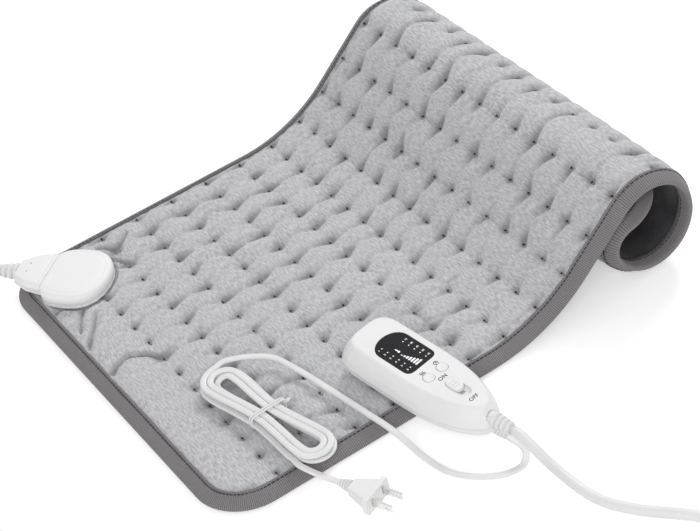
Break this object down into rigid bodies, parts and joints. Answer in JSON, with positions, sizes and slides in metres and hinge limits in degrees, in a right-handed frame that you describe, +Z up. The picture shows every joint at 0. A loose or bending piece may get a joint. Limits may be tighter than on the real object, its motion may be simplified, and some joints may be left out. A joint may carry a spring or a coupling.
{
  "type": "heating pad with controller",
  "caption": "Tufted plush heating pad with one end rolled up, bound edges, a corner socket with a plug-in lead, a hand controller with display, buttons and slide switch, and a tied mains cord.",
  "frame": {"origin": "on the pad's flat underside, on its centre line, under the middle of the flat part", "axes": "+X along the pad towards the rolled end, +Y across it towards the side away from the controller, +Z up"},
  "size_m": [0.5406, 0.6364, 0.0853],
  "materials": {
    "plush": "brushed short pile",
    "backing": "woven matte",
    "tape": "ribbed woven tape",
    "felt": "needled felt",
    "wire": "smooth sleeve",
    "white_shell": "satin moulded",
    "white_cord": "smooth satin",
    "dark_plastic": "moulded",
    "lens": "polished smoked",
    "light_guide": "frosted",
    "board": "solder mask",
    "steel": "plated",
    "contact": "plated"
  },
  "bodies": {
    "pad_and_controller": {"top_cover": "plush", "bottom_cover": "backing", "edge_binding": "tape", "heater_felt": "felt", "heating_wire": "wire", "socket_base": "white_shell", "socket_cover": "white_shell", "handset_lower_shell": "white_shell", "handset_upper_shell": "white_shell", "slide_switch": "white_shell", "mains_plug": "white_shell", "lead_gland": "white_cord", "mains_gland": "white_cord", "cord_hank": "white_cord", "hank_tie": "white_cord", "mains_plug_relief": "white_cord", "mains_cord": "white_cord", "mains_tail": "white_cord", "pad_lead": "white_cord", "contact_block": "dark_plastic", "heat_switch": "dark_plastic", "timer_switch": "dark_plastic", "display_window": "lens", "light_guide": "light_guide", "circuit_board": "board", "socket_screw_1": "steel", "socket_screw_2": "steel", "handset_screw_1": "steel", "handset_screw_2": "steel", "handset_screw_3": "steel", "handset_screw_4": "steel", "plug_blade_1": "steel", "plug_blade_2": "steel", "thermal_fuse": "steel", "contact_pin_1": "contact", "contact_pin_2": "contact", "contact_pin_3": "contact"},
    "heat_button": {"heat_button": "white_shell"},
    "timer_button": {"timer_button": "white_shell"},
    "power_knob": {"power_knob": "white_shell"},
    "lead_plug": {"plug_upper_shell": "white_shell", "plug_lower_shell": "white_shell", "contact_carrier": "dark_plastic", "contact_sleeve_1": "contact", "contact_sleeve_2": "contact", "contact_sleeve_3": "contact", "plug_strain_relief": "white_cord"}
  },
  "joints": [
    {"name": "heat_press", "type": "slide", "parent": "pad_and_controller", "child": "heat_button", "axis": [-0.0143, 0.0771, -0.9969], "range_m": [0, 0.0009], "stiffness_N_per_m": 800},
    {"name": "timer_press", "type": "slide", "parent": "pad_and_controller", "child": "timer_button", "axis": [-0.0143, 0.0771, -0.9969], "range_m": [0, 0.0009], "stiffness_N_per_m": 800},
    {"name": "power_slide", "type": "slide", "parent": "pad_and_controller", "child": "power_knob", "axis": [0.1817, -0.9802, -0.0785], "range_m": [0, 0.007]},
    {"name": "plug_pull", "type": "slide", "parent": "pad_and_controller", "child": "lead_plug", "axis": [-0.6157, 0.788, 0], "range_m": [0, 0.02], "deforming": ["pad_lead"]}
  ]
}
